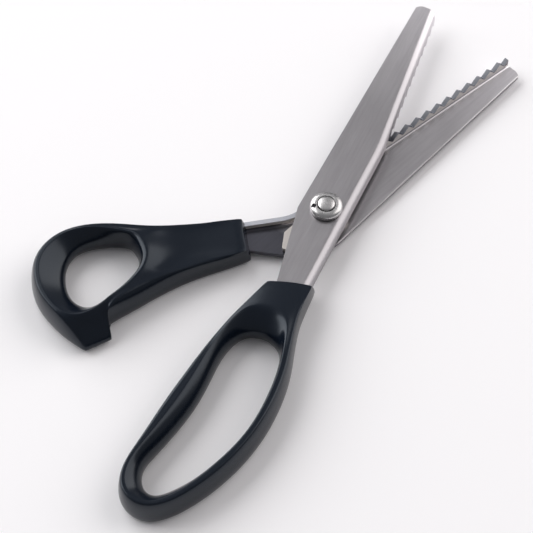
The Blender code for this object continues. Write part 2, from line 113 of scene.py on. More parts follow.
def select_edges(item, wanted):
    """Goes into edit mode with only the edges selected whose two ends pass a test."""
    pick(item)
    bpy.ops.object.mode_set(mode="EDIT")
    bpy.ops.mesh.select_mode(type="EDGE")
    bpy.ops.mesh.select_all(action="DESELECT")
    bm = bmesh.from_edit_mesh(item.data)
    for edge in bm.edges:
        edge.select = wanted([vert.co for vert in edge.verts])
    bmesh.update_edit_mesh(item.data)


def close_mesh(item):
    """Merges what meets, turns the faces outwards and leaves edit mode."""
    bpy.ops.mesh.select_all(action="SELECT")
    bpy.ops.mesh.remove_doubles(threshold=WELD)
    bpy.ops.mesh.select_all(action="SELECT")
    bpy.ops.mesh.normals_make_consistent(inside=False)
    bpy.ops.object.mode_set(mode="OBJECT")
    return item


def loft(name, rings, capped=True):
    """Closed skin through a run of rings; without caps the run goes round and ends where it began."""
    item, ring = start_ring(name, rings[0])
    if capped:
        bpy.ops.mesh.edge_face_add()
        bpy.ops.mesh.select_mode(type="EDGE")
        bm = bmesh.from_edit_mesh(item.data)
        for face in bm.faces:
            face.select = False
        for edge in bm.edges:
            edge.select = True
        bmesh.update_edit_mesh(item.data)
    for points in rings[1:]:
        ring = extrude_ring(item, ring, points)
    if capped:
        bpy.ops.mesh.edge_face_add()
    return close_mesh(item)


def lathe(name, profile, closed):
    """Turned solid about Z from (radius, height) points; an open profile is capped at both ends."""
    rings = []
    for radius, height in profile:
        ring = []
        for step in range(ROUND_STEPS):
            angle = math.tau * step / ROUND_STEPS
            ring.append((radius * math.cos(angle), radius * math.sin(angle), height))
        rings.append(ring)
    if closed:
        rings.append(rings[0])
    return loft(name, rings, capped=not closed)


def prism(name, outline, bottom, top):
    """Straight solid over a plan outline."""
    rings = [[(x, y, z) for x, y in outline] for z in (bottom, top)]
    return loft(name, rings)


def apply_modifier(item, kind, **values):
    pick(item)
    modifier = item.modifiers.new(kind.lower(), kind)
    for key, value in values.items():
        setattr(modifier, key, value)
    bpy.ops.object.modifier_apply(modifier=modifier.name)


def cut(item, tool, operation="DIFFERENCE"):
    """Applies a Boolean with the tool, then removes the tool."""
    apply_modifier(item, "BOOLEAN", operation=operation, solver="EXACT", object=tool)
    bpy.data.objects.remove(tool)


def smooth(item, below):
    """Smooth shading across edges flatter than an angle."""
    pick(item)
    bpy.ops.object.shade_smooth_by_angle(angle=below)


def soften_edges(item, width):
    """Small rounds on the crisp edges, with flat faces kept flat."""
    apply_modifier(
        item, "BEVEL", width=width, segments=2, limit_method="ANGLE",
        angle_limit=SOFT_ANGLE, use_clamp_overlap=True, miter_outer="MITER_ARC",
    )
    smooth(item, SHEET_SMOOTH)
    apply_modifier(item, "WEIGHTED_NORMAL", keep_sharp=True)


def place_piece(item, body, slot, nodes, opening=0.0):
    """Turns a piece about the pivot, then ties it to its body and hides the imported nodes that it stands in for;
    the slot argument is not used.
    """
    if opening:
        pick(item)
        item.rotation_euler.z = -opening
        bpy.ops.object.transform_apply(location=False, rotation=True, scale=False)
    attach(item, body)
    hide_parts(*nodes)


def rounded_outline(corners):
    """Closed outline from (x, y, radius) corners; each corner becomes an arc."""
    outline = []
    for index, (x, y, radius) in enumerate(corners):
        corner = Vector((x, y))
        before = (Vector(corners[index - 1][:2]) - corner).normalized()
        after = (Vector(corners[(index + 1) % len(corners)][:2]) - corner).normalized()
        if radius <= 0:
            outline.append(corner)
            continue
        half = before.angle(after) / 2
        start = corner + before * radius / math.tan(half)
        end = corner + after * radius / math.tan(half)
        centre = corner + (before + after).normalized() * radius / math.sin(half)
        first = start - centre
        turn = first.angle_signed(end - centre)
        for step in range(ARC_STEPS + 1):
            arm = first.copy()
            arm.rotate(Matrix.Rotation(-turn * step / ARC_STEPS, 2))
            outline.append(centre + arm)
    return [tuple(point) for point in outline]


# Sizes and colours that a user would change

def length(name, default, description):
    return FloatProperty(name=name, default=default, description=description, unit="LENGTH", precision=5)


def angle(name, degrees, description):
    return FloatProperty(name=name, default=math.radians(degrees), description=description, unit="ROTATION")


def share(name, default, description):
    return FloatProperty(name=name, default=default, min=0.0, max=1.0, description=description, subtype="FACTOR")


def colour(name, default, description):
    return FloatVectorProperty(
        name=name, default=default, size=3, min=0.0, max=1.0, description=description, subtype="COLOR")


class ShearsBladeSizes(bpy.types.PropertyGroup):
    """Sizes of the two folded blades."""

    sheet: length("Sheet", 0.0018, "Thickness of both blades")
    inner_bend: length("Inner bend", 0.0010, "Inner radius of the fold along the toothed edge")
    gap: length("Gap", 0.0056, "Clear height between the two blade plates")
    reach: length("Reach", 0.0998, "Pivot to the end of the front blade")
    rear_shortfall: length("Rear shortfall", 0.0009, "How much shorter the rear blade is")
    flange_offset: length("Folded edge", 0.0084, "Pivot axis to the outside of the folded edge")
    flange_tip_offset: length("Folded edge at the tip", 0.00144, "The same at the end of the blade")
    taper_start: length("Taper start", 0.033, "Where the toothed edge starts to taper")
    spine_offset: length("Plain edge", 0.0094, "Pivot axis to the plain edge of the front blade")
    rear_spine_offset: length("Rear plain edge", 0.0104, "Pivot axis to the plain edge of the rear blade")
    spine_tip_offset: length("Plain edge at the tip", 0.0065, "Plain edge offset at the blade end")
    heel: length("Heel", -0.004, "Where a blade turns into its tang")
    tooth_pitch: length("Tooth pitch", 0.005, "Distance from tooth to tooth")
    tooth_depth: length("Tooth depth", 0.0028, "Height of the zigzag")
    first_valley: length("First valley", 0.037, "Pivot to the first tooth valley")
    tooth_clearance: length("Tooth clearance", 0.00025, "How far each blade stays from the shared zigzag")
    front_tang: length("Front tang", 0.041, "Heel to the end of the tang in the finger handle")
    front_narrowing: share("Front tang narrowing", 0.20, "Width lost for each unit of length")
    rear_tang: length("Rear tang", 0.036, "Heel to the end of the tang in the thumb handle")
    rear_narrowing: share("Rear tang narrowing", 0.41, "Width lost for each unit of length")
    rear_least_width: length("Rear tang least width", 0.0105, "Width at the end of the rear tang")
    rear_tang_angle: angle("Rear tang angle", 35, "Turn of the rear tang away from its blade")
    rear_tang_radius: length("Rear tang radius", 0.014, "Radius of that turn on the toothed side")
    edge_round: length("Edge round", 0.00014, "Width of the small rounds on the cut edges")
    spine_round: length("Plain edge round", 0.00035, "Width of the rounds along the plain edges")


class ShearsPivotSizes(bpy.types.PropertyGroup):
    """Sizes of the screw, nut, washers and bearing plates."""

    opening: angle("Opening", 20, "Angle between the blades as they lie")
    fit: length("Fit", 0.0003, "Clearance between neighbouring pieces")
    head_radius: length("Head radius", 0.0066, "Radius of the screw head")
    head_thickness: length("Head thickness", 0.0014, "Thickness of the screw head")
    shoulder_radius: length("Shoulder radius", 0.0035, "Radius of the screw's shoulder")
    thread_radius: length("Thread radius", 0.0031, "Radius of the screw's end")
    button_rise: length("Button rise", 0.0006, "How far the screw end stands over the nut")
    nut_radius: length("Nut radius", 0.0059, "Radius of the nut")
    nut_height: length("Nut height", 0.0024, "Height of the nut")
    nut_rim: length("Nut rim", 0.0008, "Height of the nut's straight rim")
    hole_side: length("Spanner hole", 0.0016, "Side of the square spanner hole")
    hole_depth: length("Spanner hole depth", 0.0012, "Depth of the square spanner hole")
    hole_turn: angle("Spanner hole place", 124, "Direction of the spanner hole from +X")
    spring_radius: length("Spring washer radius", 0.0045, "Outer radius of the spring washer")
    spring_thickness: length("Spring washer thickness", 0.0003, "Thickness of the spring washer")
    thrust_radius: length("Thrust washer radius", 0.0060, "Outer radius of the thrust washer")
    thrust_thickness: length("Thrust washer thickness", 0.0004, "Thickness of the thrust washer")
    bearing_front: length("Bearing front", 0.0078, "Pivot axis to the front end of the bearing plates")
    bearing_front_round: length("Bearing front round", 0.0051, "Round on the rear plate's corner at the plain edge")
    bearing_back: length("Bearing back", 0.0157, "Pivot axis to the start of their bevelled end")
    bearing_margin: length("Bearing margin", 0.0034, "Bearing plate to the plain edge of its blade")
    bevel_length: length("Bevel length", 0.0055, "Length of the bevelled end")
    bevel_width: length("Bevel width", 0.0042, "Width of the bevelled end")


class ShearsHandleSizes(bpy.types.PropertyGroup):
    """Sizes of the two moulded handles."""

    rim_top: length("Rim height", 0.0125, "Height of the rim round each hole")
    finger_lean: length("Finger ferrule lean", 0.0042, "How far the ferrule's bottom lip passes its top edge")
    thumb_lean: length("Thumb ferrule lean", 0.0020, "The same on the thumb handle")
    funnel_depth: length("Funnel depth", 0.0050, "Height of the scooped surface round each hole")
    lower_rim: length("Lower rim", 0.0030, "Height of the straight lower part of each hole")
    foot: length("Foot", 0.0022, "Outer edge to the flat underside")
    bottom_round: length("Bottom round", 0.0018, "Height of the round at the underside")
    nose_height: length("Nose height", 0.0042, "Height of the stop nose at its outer edge")
    hole_hem: length("Hole hem", 0.0006, "Extra width at the hole that its soft edge takes back")
    outer_hem: length("Outer hem", 0.0002, "Extra width at the outside that its soft edge takes back")
    pocket_gap: length("Pocket gap", 0.00015, "Clearance between a tang and its pocket")


class ShearsFinishes(bpy.types.PropertyGroup):
    """Colours and roughness of the finishes."""

    blade: colour("Blade steel", (0.38, 0.365, 0.38), "Ground blade steel")
    blade_roughness: share("Blade roughness", 0.31, "Mean roughness of the ground steel")
    # Darker steel towards the end of the rear tang.
    tang: colour("Tang steel", (0.085, 0.085, 0.10), "Unground steel of the rear tang")
    tooth: colour("Tooth steel", (0.44, 0.45, 0.49), "Ground faces of the teeth")
    # Painted shade: the tooth backs get a darker copy of the tooth steel.
    tooth_back_painted_shade: colour("Tooth back steel", (0.13, 0.135, 0.16), "Faces of the teeth towards the tip")
    # Painted reflection: the blade steel is made brighter towards the point.
    painted_point_sheen: share("Point gain", 0.85, "How much brighter the steel is at the point than at the pivot")
    # Painted light: the matt inner face of the fold is made pale so that it looks lit.
    inside: colour("Inside of the fold", (0.74, 0.70, 0.68), "Matt inner face of the folded edge")
    # Dull sheared steel whose dark tone is partly painted shade; also painted shade in the nut's square hole.
    cut: colour("Cut edge steel", (0.26, 0.25, 0.27), "Sheared edges of the blades")
    bearing: colour("Bearing steel", (0.62, 0.58, 0.55), "Bearing plates")
    bright: colour("Bright steel", (0.56, 0.55, 0.55), "Polished screw and nut")
    spring: colour("Spring steel", (0.30, 0.30, 0.32), "Spring washer")
    bronze: colour("Bronze", (0.45, 0.30, 0.14), "Thrust washer")
    plastic: colour("Handle plastic", (0.0030, 0.0055, 0.0110), "Blue-black moulded handles")
    plastic_roughness: share("Handle roughness", 0.20, "Mean roughness of the handles")


class ShearsStage(bpy.types.PropertyGroup):
    """Camera and studio lights."""

    azimuth: angle("Azimuth", -65, "Direction that the camera looks, from +Y")
    elevation: angle("Elevation", 58, "Camera height over the table")
    distance: length("Distance", 0.8, "Camera to the point that it looks at")
    lens: FloatProperty(name="Lens", default=150.094, description="Focal length in millimetres")
    target: FloatVectorProperty(
        name="Target", default=(-0.02552, 0.01182, 0.0), description="Point that the camera looks at",
        subtype="TRANSLATION")
    floor: colour("Floor", (0.955, 0.94, 0.955), "Pale table")
    room: FloatProperty(name="Room", default=0.30, description="Strength of the soft room light")
    room_shade: FloatProperty(name="Room shade", default=0.25, description="The same on the viewer's side")
    key: FloatProperty(name="Key", default=2.95, description="Radiance of the softbox at the left")
    side: FloatProperty(name="Side", default=1.7, description="Radiance of the softbox at the right")


# Heights that follow from the sizes

def stack(blade, pivot):
    """Heights of the blades and what lies between them."""
    rear_outer = pivot.head_thickness + pivot.fit
    rear_inner = rear_outer + blade.sheet
    middle = rear_inner + blade.gap / 2
    front_inner = rear_inner + blade.gap
    return {
        "rear_outer": rear_outer,
        "rear_inner": rear_inner,
        "middle": middle,
        "front_inner": front_inner,
        "front_outer": front_inner + blade.sheet,
        "bearing": blade.gap / 2 - pivot.thrust_thickness / 2 - 2 * pivot.fit,
        "bore": pivot.shoulder_radius + pivot.fit,
    }


# Blades

FRONT_LEAST_WIDTH = 0.008            # width at the end of the front tang, inside its handle
BEND_MARKS = (1.0, 0.83, 0.67, 0.5, 0.33, 0.17)  # where the rear tang's bend gets a cross-section
TAPER_LEAD = 0.003                   # last plain cross-section to the start of the taper
TRIM_MARGIN = 0.0005                 # how far the tool for the point clears the blade's edges
TRIM_LENGTH = 0.014                  # length of blade whose outline the tool follows
TRIM_FAR = 0.2                       # reach of the tool behind the point and to its sides
FRONT_POINT, REAR_POINT = (0.0045, 0.0034), (0.0004, 0.0030)  # rounds of the point: toothed, plain side
ON_SPINE = 2e-4                      # how near the plain edge an edge lies to be rounded
# Which face gets which finish, by its place and the direction that it faces; tooth backs and sheared edges are
# darkened as painted shade, the inside of the fold is made pale as painted light.
TOOTH_ZONE = 0.0021                  # half the height about the middle where tooth faces lie
TOOTH_SLOPE, TIP_SLOPE = 0.25, 0.1   # a tooth face looks at the other blade, a tooth back also at the tip
SHEARED_SLOPE = 0.2                  # a sheared edge stands nearly upright
INSIDE_SLOPE, INSIDE_LEAN = -0.8, 0.5  # the inside of the fold looks at the plain edge


def tooth_wave(blade, distance):
    """Height of the shared zigzag over the middle plane at a distance from the pivot."""
    cycles = (distance - blade.first_valley) / blade.tooth_pitch
    if cycles < -0.25:
        return 0.0
    return blade.tooth_depth / 2 * (4 * abs(cycles - math.floor(cycles + 0.5)) - 1)


def flange_line(blade, x):
    """Distance from the centre line to the outside of the folded edge."""
    slope = (blade.flange_offset - blade.flange_tip_offset) / (blade.reach - blade.taper_start)
    return blade.flange_offset - max(0.0, x - blade.taper_start) * slope


def spine_line(blade, x, spine_offset):
    """Distance from the centre line to the plain edge."""
    along = (x - blade.heel) / (blade.reach - blade.heel)
    return spine_offset + (blade.spine_tip_offset - spine_offset) * along


def fold_section(blade, place, spine, height, flange_end, grow):
    """One cross-section of the folded sheet, as a closed ring of points."""
    outer_radius = blade.sheet + blade.inner_bend
    ring = [(*spine, height(-grow))]
    for radius, outward in ((outer_radius + grow, True), (blade.inner_bend - grow, False)):
        arc = []
        for step in range(BEND_STEPS + 1):
            turned = math.pi / 2 * step / BEND_STEPS
            inward = outer_radius - radius * math.sin(turned)
            depth = outer_radius - radius * math.cos(turned)
            arc.append((*place(inward), height(depth)))
        if outward:
            ring += arc
            ring.append((*place(-grow), height(flange_end + grow)))
            ring.append((*place(blade.sheet + grow), height(flange_end + grow)))
        else:
            ring += reversed(arc)
    ring.append((*spine, height(blade.sheet + grow)))
    return ring


def tang_of(blade, side):
    """Angle, radius, length, narrowing and least width of a tang."""
    if side == FRONT:
        return 0.0, 1.0, blade.front_tang, blade.front_narrowing, FRONT_LEAST_WIDTH
    return (blade.rear_tang_angle, blade.rear_tang_radius, blade.rear_tang,
            blade.rear_narrowing, blade.rear_least_width)


def blade_rings(blade, pivot, side, grow=0.0, tang_only=False):
    """Cross-sections from the end of the tang to past the point of the blade."""
    levels = stack(blade, pivot)
    outer_z = levels["front_outer"] if side == FRONT else levels["rear_outer"]
    spine_offset = blade.spine_offset if side == FRONT else blade.rear_spine_offset

    def height(depth):
        return outer_z + side * depth

    def flange_depth(distance):
        edge_z = levels["middle"] + tooth_wave(blade, distance) - side * blade.tooth_clearance
        return (edge_z - outer_z) * side

    rings = []
    turn, radius, reach, narrowing, least_width = tang_of(blade, side)
    bend_length = radius * turn
    root_width = blade.flange_offset + spine_line(blade, blade.heel, spine_offset)
    marks = [reach, (reach + bend_length) / 2]
    if bend_length > 0:
        marks += [bend_length * part for part in BEND_MARKS]
    for mark in marks:
        turned = min(mark / radius, turn) if turn > 0 else 0.0
        straight = max(0.0, mark - bend_length)
        x = blade.heel - radius * math.sin(turned) - straight * math.cos(turned)
        y = blade.flange_offset + radius * (1 - math.cos(turned)) + straight * math.sin(turned)
        inward = Vector((-math.sin(turned), -math.cos(turned)))
        width = max(root_width - narrowing * mark, least_width)

        def place(q, x=x, y=y, inward=inward):
            return (x + inward.x * q, side * (y + inward.y * q))

        rings.append(fold_section(blade, place, place(width + grow), height, flange_depth(0.0), grow))
    for x in (blade.heel, 0.0, blade.taper_start - TAPER_LEAD):
        def place(q, x=x):
            return (x, side * (flange_line(blade, x) - q))

        spine = (x, -side * (spine_line(blade, x, spine_offset) + grow))
        rings.append(fold_section(blade, place, spine, height, flange_depth(0.0), grow))
    if tang_only:
        return rings[:3]

    half_teeth = math.ceil((blade.reach - blade.first_valley) / (blade.tooth_pitch / 2)) + 1
    distances = [blade.first_valley - blade.tooth_pitch / 4]
    distances += [blade.first_valley + blade.tooth_pitch / 2 * count for count in range(half_teeth + 1)]
    for distance in distances:
        def on_circle(y, distance=distance):
            return math.sqrt(distance ** 2 - y ** 2)

        edge = flange_line(blade, distance)
        for _ in range(3):
            edge = flange_line(blade, on_circle(edge))

        def place(q, edge=edge, on_circle=on_circle):
            return (on_circle(edge - q), side * (edge - q))

        spine_y = spine_line(blade, distance, spine_offset) + grow
        spine = (on_circle(spine_y), -side * spine_y)
        rings.append(fold_section(blade, place, spine, height, flange_depth(distance), grow))
    return rings


def tip_tool(blade, side, reach, point, spine_offset):
    """Prism that a blade is cut to at its rounded point."""
    toothed_round, plain_round = point
    far, back = TRIM_FAR, reach - TRIM_LENGTH
    corners = [
        (-far, -side * far, 0),
        (-far, side * far, 0),
        (back, side * far, 0),
        (back, side * (flange_line(blade, back) + TRIM_MARGIN), 0),
        (reach, side * (flange_line(blade, reach) + TRIM_MARGIN), toothed_round),
        (reach, -side * (spine_line(blade, reach, spine_offset) + TRIM_MARGIN), plain_round),
        (back, -side * (spine_line(blade, back, spine_offset) + TRIM_MARGIN), 0),
        (back, -side * far, 0),
    ]
    return prism("tip_tool", rounded_outline(corners), -0.01, 0.03)


def bore_tool(radius):
    """Cylinder that opens a pivot bore."""
    return lathe("bore_tool", [(radius, -0.005), (radius, 0.02)], closed=False)


def round_spine(item, blade, side, spine_offset):
    """Wider rounds along the plain edge of a blade."""
    def on_spine(ends):
        level = abs(ends[0].z - ends[1].z) < SAME_PLACE
        return level and all(
            co.x > blade.heel - SAME_PLACE and abs(-side * co.y - spine_line(blade, co.x, spine_offset)) < ON_SPINE
            for co in ends)

    select_edges(item, on_spine)
    bpy.ops.mesh.bevel(offset=blade.spine_round, segments=2, affect="EDGES")
    bpy.ops.object.mode_set(mode="OBJECT")


def finish_blade(item, levels, side, finishes):
    """Finishes by face: ground steel, tooth faces, sheared edges darkened as painted shade, tooth backs darkened as
    painted shade and the inside of the fold made pale as painted light.
    """
    for finish in finishes:
        item.data.materials.append(finish)
    for polygon in item.data.polygons:
        in_wave = abs(polygon.center.z - levels["middle"]) < TOOTH_ZONE
        x, y, z = polygon.normal
        if in_wave and z * side > TOOTH_SLOPE:
            # Tooth backs (index 3) get the darker copy of the tooth steel: painted shade.
            polygon.material_index = 1 if x < TIP_SLOPE else 3
        elif abs(z) < SHEARED_SLOPE and polygon.center.y * side < 0:
            # Sheared edges: dull steel, darkened as painted shade.
            polygon.material_index = 2
        elif y * side < INSIDE_SLOPE and abs(z) < INSIDE_LEAN:
            # Inside of the fold: matt, with a pale colour as painted light.
            polygon.material_index = 4


class SHEARS_OT_blades(bpy.types.Operator):
    """Model the two folded blades with their meshing teeth"""

    bl_idname = "shears.blades"
    bl_label = "Blades"

    def execute(self, context):
        blade, pivot = context.scene.shears_blade, context.scene.shears_pivot
        levels = stack(blade, pivot)
        colours = context.scene.shears_finish
        # The tooth back steel is a darker copy of the tooth steel: painted shade.
        tooth, tooth_back_painted_shade = (
            metal_finish(name, base, ACROSS, 0.42, 0.12, 0.2, bump=(0.000008, 0.5))
            for name, base in (("tooth_steel", colours.tooth), ("tooth_back_steel", colours.tooth_back_painted_shade)))
        # Matt inner face of the fold, made pale as painted light.
        inside = metal_finish("inside_painted_light_steel", colours.inside, ACROSS, 0.55, 0.12, 0.3, metallic=0.25)
        shared = [tooth, cut_edge_painted_shade_finish(), tooth_back_painted_shade, inside]
        plans = (
            ("front", FRONT, blade.reach, FRONT_POINT, blade.spine_offset, FRONT_BODY, 0.0),
            ("rear", REAR, blade.reach - blade.rear_shortfall, REAR_POINT, blade.rear_spine_offset,
             REAR_BODY, pivot.opening),
        )
        for name, side, reach, point, spine_offset, body, opening in plans:
            item = loft(name + "_blade_plate", blade_rings(blade, pivot, side))
            cut(item, tip_tool(blade, side, reach, point, spine_offset), "INTERSECT")
            cut(item, bore_tool(levels["bore"]))
            if side == REAR:
                round_spine(item, blade, side, spine_offset)
            soften_edges(item, blade.edge_round)
            steel = steel_finish(name + "_blade_steel", opening, tang=side == REAR)
            finish_blade(item, levels, side, [steel, *shared])
            place_piece(item, body, "blade_steel", [name + "_blade"], opening)
        return {"FINISHED"}


# Pivot

BEVEL_ROUND, HEEL_ROUND = 0.0008, 0.0020  # rounds of the bearing plates' corners
FRONT_ROUND, FLANGE_ROUND, NOTCH_ROUND = 0.0035, 0.0015, 0.0006
NOTCH_AT, HEEL_AT = (-0.74, 1.67), (0.71, 2.87)  # corners past the bevel, in bevel lengths and widths
PLATE_ROUND = 0.00022                # small round on the bearing plates' edges
NUT_ROUND = 0.00012                  # small round on the nut's edges
NUT_LIP = 0.0006                     # flat ring between the nut's dome and its bore
HOLE_SHIFT, HOLE_ROUND = 0.0001, 0.0002  # spanner hole: how far past the spring washer's edge, and its corners


def bearing_outline(blade, pivot, side, spine_offset):
    """Plan of a bearing plate, with its bevelled back end."""
    flange_side = side * (blade.flange_offset - blade.sheet - blade.inner_bend)
    plain_side = -side * (spine_offset - pivot.bearing_margin)
    back, bevel, wide = pivot.bearing_back, pivot.bevel_length, pivot.bevel_width
    return rounded_outline([
        (pivot.bearing_front, flange_side, FLANGE_ROUND),
        (-back, flange_side, BEVEL_ROUND),
        (-back - bevel, flange_side - side * wide, BEVEL_ROUND),
        (-back + bevel * NOTCH_AT[0], flange_side - side * wide * NOTCH_AT[1], NOTCH_ROUND),
        (-back + bevel * HEEL_AT[0], flange_side - side * wide * HEEL_AT[1], HEEL_ROUND),
        (blade.heel, plain_side, HEEL_ROUND),
        (pivot.bearing_front, plain_side, pivot.bearing_front_round if side == REAR else FRONT_ROUND),
    ])


class SHEARS_OT_bearings(bpy.types.Operator):
    """Model the two bearing plates between the blades"""

    bl_idname = "shears.bearings"
    bl_label = "Bearing plates"

    def execute(self, context):
        blade, pivot = context.scene.shears_blade, context.scene.shears_pivot
        levels = stack(blade, pivot)
        colours = context.scene.shears_finish
        finish = metal_finish("bearing_steel", colours.bearing, 0.4, 0.34, 0.10, 0.08)
        plans = (
            (FRONT, blade.spine_offset, levels["front_inner"] - pivot.fit - levels["bearing"],
             "front_bearing", FRONT_BODY, 0.0),
            (REAR, blade.rear_spine_offset, levels["rear_inner"] + pivot.fit,
             "rear_bearing", REAR_BODY, pivot.opening),
        )
        for side, spine_offset, bottom, name, body, opening in plans:
            outline = bearing_outline(blade, pivot, side, spine_offset)
            plate = prism(name, outline, bottom, bottom + levels["bearing"])
            cut(plate, bore_tool(levels["bore"]))
            soften_edges(plate, PLATE_ROUND)
            plate.data.materials.append(finish)
            place_piece(plate, body, "bearing_steel", [name + "_plate"], opening)
        return {"FINISHED"}


class SHEARS_OT_pivot(bpy.types.Operator):
    """Model the pivot screw, its domed nut and the two washers"""

    bl_idname = "shears.pivot"
    bl_label = "Pivot"

    def execute(self, context):
        blade, pivot = context.scene.shears_blade, context.scene.shears_pivot
        levels = stack(blade, pivot)
        base = levels["front_outer"] + pivot.fit
        bright = bright_finish()
        self.make_screw(pivot, levels, base, bright)
        self.make_nut(pivot, base, bright)
        self.make_washers(context.scene.shears_finish, pivot, levels, base)
        return {"FINISHED"}

    def make_screw(self, pivot, levels, base, finish):
        head, thick = pivot.head_radius, pivot.head_thickness
        shoulder_top = levels["front_outer"] - 0.0001
        top = base + pivot.nut_height + pivot.button_rise
        edge, corner, chamfer = 0.0006, 0.0003, 0.0001
        profile = [(0.0004, 0), (head - corner, 0), (head - corner * 0.3, corner * 0.3), (head, corner)]
        profile += [(head, thick - chamfer), (head - chamfer, thick), (pivot.shoulder_radius, thick)]
        profile += [(pivot.shoulder_radius, shoulder_top), (pivot.thread_radius, shoulder_top)]
        centre = (pivot.thread_radius - edge, top - 0.00016 - edge)
        for step in range(7):
            lean = math.radians(80) * step / 6
            profile.append((centre[0] + edge * math.cos(lean), centre[1] + edge * math.sin(lean)))
        for part in (0.66, 0.45, 0.25, 0.1):
            profile.append((pivot.thread_radius * part, top - 0.00013 * (part / 0.8) ** 2))
        screw = lathe("pivot_screw_turned", profile, closed=False)
        smooth(screw, SCREW_SMOOTH)
        screw.data.materials.append(finish)
        place_piece(screw, FRONT_BODY, "bright_steel", ["pivot_screw"])

    def make_nut(self, pivot, base, finish):
        bore = pivot.thread_radius + pivot.fit
        recess = base + pivot.spring_thickness + pivot.fit
        top = base + pivot.nut_height
        crown = pivot.nut_radius - bore - NUT_LIP
        rise = pivot.nut_height - pivot.nut_rim
        radius = pivot.nut_radius
        profile = [(pivot.spring_radius + pivot.fit, base), (radius - NUT_ROUND, base), (radius, base + NUT_ROUND)]
        for step in range(17):
            lean = math.pi / 2 * step / 16
            profile.append((radius - crown * (1 - math.cos(lean)), base + pivot.nut_rim + rise * math.sin(lean)))
        profile += [(bore + NUT_ROUND, top), (bore, top - NUT_ROUND), (bore, recess)]
        profile += [(pivot.spring_radius + pivot.fit, recess)]
        nut = lathe("pivot_nut_domed", profile, closed=True)
        side = pivot.hole_side / 2
        reach = pivot.spring_radius + HOLE_SHIFT
        middle = (reach * math.cos(pivot.hole_turn), reach * math.sin(pivot.hole_turn))
        corners = []
        for x, y in ((-1, -1), (1, -1), (1, 1), (-1, 1)):
            corners.append((middle[0] + side * x, middle[1] + side * y, HOLE_ROUND))
        cut(nut, prism("hole_tool", rounded_outline(corners), top - pivot.hole_depth, top + 0.002))
        smooth(nut, TURNED_SMOOTH)
        nut.data.materials.append(finish)
        # Painted shade: the square hole's walls and floor get the dark cut steel.
        nut.data.materials.append(cut_edge_painted_shade_finish())
        for polygon in nut.data.polygons:
            across = polygon.center - Vector((*middle, 0))
            in_hole = max(abs(across.x), abs(across.y)) < side + 1e-6 and polygon.area < 4 * side ** 2
            if in_hole and (polygon.normal.z > 0.99 or abs(polygon.normal.z) < 0.01):
                polygon.material_index = 1
        place_piece(nut, FRONT_BODY, "bright_steel", ["pivot_nut"])

    def make_washers(self, colours, pivot, levels, base):
        thrust_bottom = levels["middle"] - pivot.thrust_thickness / 2
        plans = (
            ("spring_washer_ring", pivot.thread_radius + pivot.fit, pivot.spring_radius, base,
             pivot.spring_thickness, "spring_steel", colours.spring, 0.34, "spring_washer"),
            ("thrust_washer_ring", levels["bore"], pivot.thrust_radius, thrust_bottom,
             pivot.thrust_thickness, "bronze", colours.bronze, 0.32, "thrust_washer"),
        )
        for name, inner, outer, bottom, thickness, slot, colour_value, roughness, node in plans:
            edge = thickness * 0.2
            top = bottom + thickness
            profile = [(inner, bottom), (outer - edge, bottom), (outer, bottom + edge), (outer, top - edge),
                       (outer - edge, top), (inner, top)]
            washer = lathe(name, profile, closed=True)
            smooth(washer, TURNED_SMOOTH)
            washer.data.materials.append(metal_finish(slot, colour_value, 0.0, roughness, 0.1, 0.12))
            place_piece(washer, FRONT_BODY, slot, [node])


# Handles: each station is (outer x, outer y, hole x, hole y, funnel width, shoulder width, drop, roll), in
# millimetres but for the roll. Drop is how far the surface outside the rim lies under it. Roll is 1 where the rim
# rolls over into the hole and 0 where it scoops down to it. The first three stations are the ferrule, where
# the tang goes in.

FINGER_STATIONS = [
    (-32.9, 6.4, -55.6, 2.0, 7.6, 0.5, 0.4, 0.0), (-30.0, -1.2, -55.0, -1.7, 7.8, 0.5, 0.4, 0.0),
    (-28.1, -9.1, -56.1, -5.3, 7.0, 0.5, 0.4, 0.0), (-40.5, -9.8, -58.1, -8.1, 4.6, 2.0, 0.4, 0.0),
    (-48.5, -11.2, -61.2, -9.9, 3.0, 2.4, 0.3, 0.0), (-57.0, -13.7, -65.5, -11.2, 1.8, 2.4, 0.1, 0.0),
    (-66.0, -16.3, -71.5, -12.2, 1.4, 2.3, 0.0, 0.0), (-77.0, -17.9, -79.5, -12.7, 1.3, 2.2, 0.0, 0.0),
    (-89.0, -17.9, -89.0, -12.5, 1.4, 2.2, 0.0, 0.0), (-101.0, -16.0, -98.5, -11.0, 1.5, 2.2, 0.0, 0.0),
    (-112.0, -12.5, -107.5, -8.1, 1.8, 2.2, 0.0, 0.0), (-121.5, -8.0, -115.5, -4.5, 2.6, 2.2, 0.0, 0.0),
    (-129.8, -2.4, -122.0, -0.3, 4.2, 2.0, 0.0, 0.0), (-135.1, 4.3, -126.8, 4.2, 5.4, 1.9, 0.0, 0.0),
    (-135.6, 11.5, -127.6, 8.6, 5.8, 1.7, 0.0, 0.0), (-131.2, 17.6, -124.4, 12.5, 6.2, 1.5, 0.0, 0.5),
    (-122.9, 20.0, -118.2, 14.2, 5.0, 1.3, 0.0, 1.0), (-112.8, 19.6, -110.5, 12.7, 4.6, 1.3, 0.0, 1.0),
    (-103.0, 18.9, -102.0, 10.8, 4.8, 1.3, 0.0, 1.0), (-93.0, 18.0, -93.8, 9.4, 4.9, 1.2, 0.0, 1.0),
    (-83.0, 16.8, -85.5, 8.8, 4.8, 1.2, 0.0, 1.0), (-73.5, 15.5, -77.0, 8.9, 4.6, 1.2, 0.0, 1.0),
    (-64.0, 13.8, -69.0, 9.0, 4.6, 1.2, 0.1, 1.0), (-54.5, 11.7, -62.0, 7.8, 6.0, 1.3, 0.3, 0.5),
    (-45.5, 9.3, -57.5, 5.4, 7.4, 1.4, 0.4, 0.0),
]

